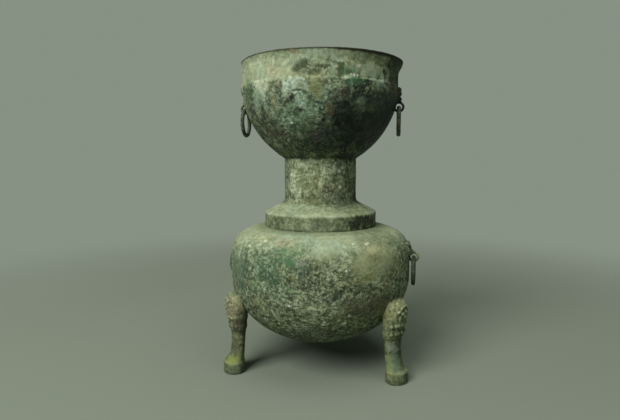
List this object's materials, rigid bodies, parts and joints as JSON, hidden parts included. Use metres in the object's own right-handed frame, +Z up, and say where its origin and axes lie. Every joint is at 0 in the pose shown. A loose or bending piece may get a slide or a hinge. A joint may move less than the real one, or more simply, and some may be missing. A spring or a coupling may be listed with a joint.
{
  "type": "bronze yan steamer",
  "caption": "Ancient cast bronze steamer: a deep bowl on a hollow stem, set over a round cauldron on hoofed legs, with swinging ring handles.",
  "frame": {"origin": "middle of the bounding box's base, on the ground that the three hooves stand on; the vessels' axis is at x = 0, y = -0.0079", "axes": "+Z up through both vessels, +Y towards the back leg, +X towards the right-hand ring handles"},
  "size_m": [0.2785, 0.2689, 0.42],
  "materials": {
    "steamer_patina": "matt grey-green and olive corrosion over cast bronze, darker on the bowl's lower right",
    "cauldron_patina": "matt, grainy green corrosion with dark pits and pale earth deposits over cast bronze",
    "ring_patina": "dark green-black corrosion over cast bronze"
  },
  "bodies": {
    "vessel": {"steamer_bowl": "steamer_patina", "cauldron_shoulder": "cauldron_patina", "cauldron_base": "cauldron_patina", "cauldron_leg_right": "cauldron_patina", "cauldron_leg_back": "cauldron_patina", "cauldron_leg_left": "cauldron_patina"},
    "bowl_ring_right": {"bowl_ring_right": "ring_patina"},
    "bowl_ring_left": {"bowl_ring_left": "ring_patina"},
    "cauldron_ring_right": {"cauldron_ring_right": "ring_patina"},
    "cauldron_ring_left": {"cauldron_ring_left": "ring_patina"}
  },
  "joints": [
    {"name": "bowl_ring_right_swing", "type": "hinge", "parent": "vessel", "child": "bowl_ring_right", "pos_m": [0.1084, -0.0079, 0.3598], "axis": [0, -1, 0], "range_deg": [-20, 120]},
    {"name": "bowl_ring_left_swing", "type": "hinge", "parent": "vessel", "child": "bowl_ring_left", "pos_m": [-0.10758, -0.00978, 0.3598], "axis": [-0.0175, 0.9998, 0], "range_deg": [-20, 120]},
    {"name": "cauldron_ring_right_swing", "type": "hinge", "parent": "vessel", "child": "cauldron_ring_right", "pos_m": [0.13208, -0.01714, 0.1544], "axis": [-0.0698, -0.9976, 0], "range_deg": [-5, 120]},
    {"name": "cauldron_ring_left_swing", "type": "hinge", "parent": "vessel", "child": "cauldron_ring_left", "pos_m": [-0.13111, 0.01053, 0.1544], "axis": [0.1392, 0.9903, 0], "range_deg": [-5, 120]}
  ]
}
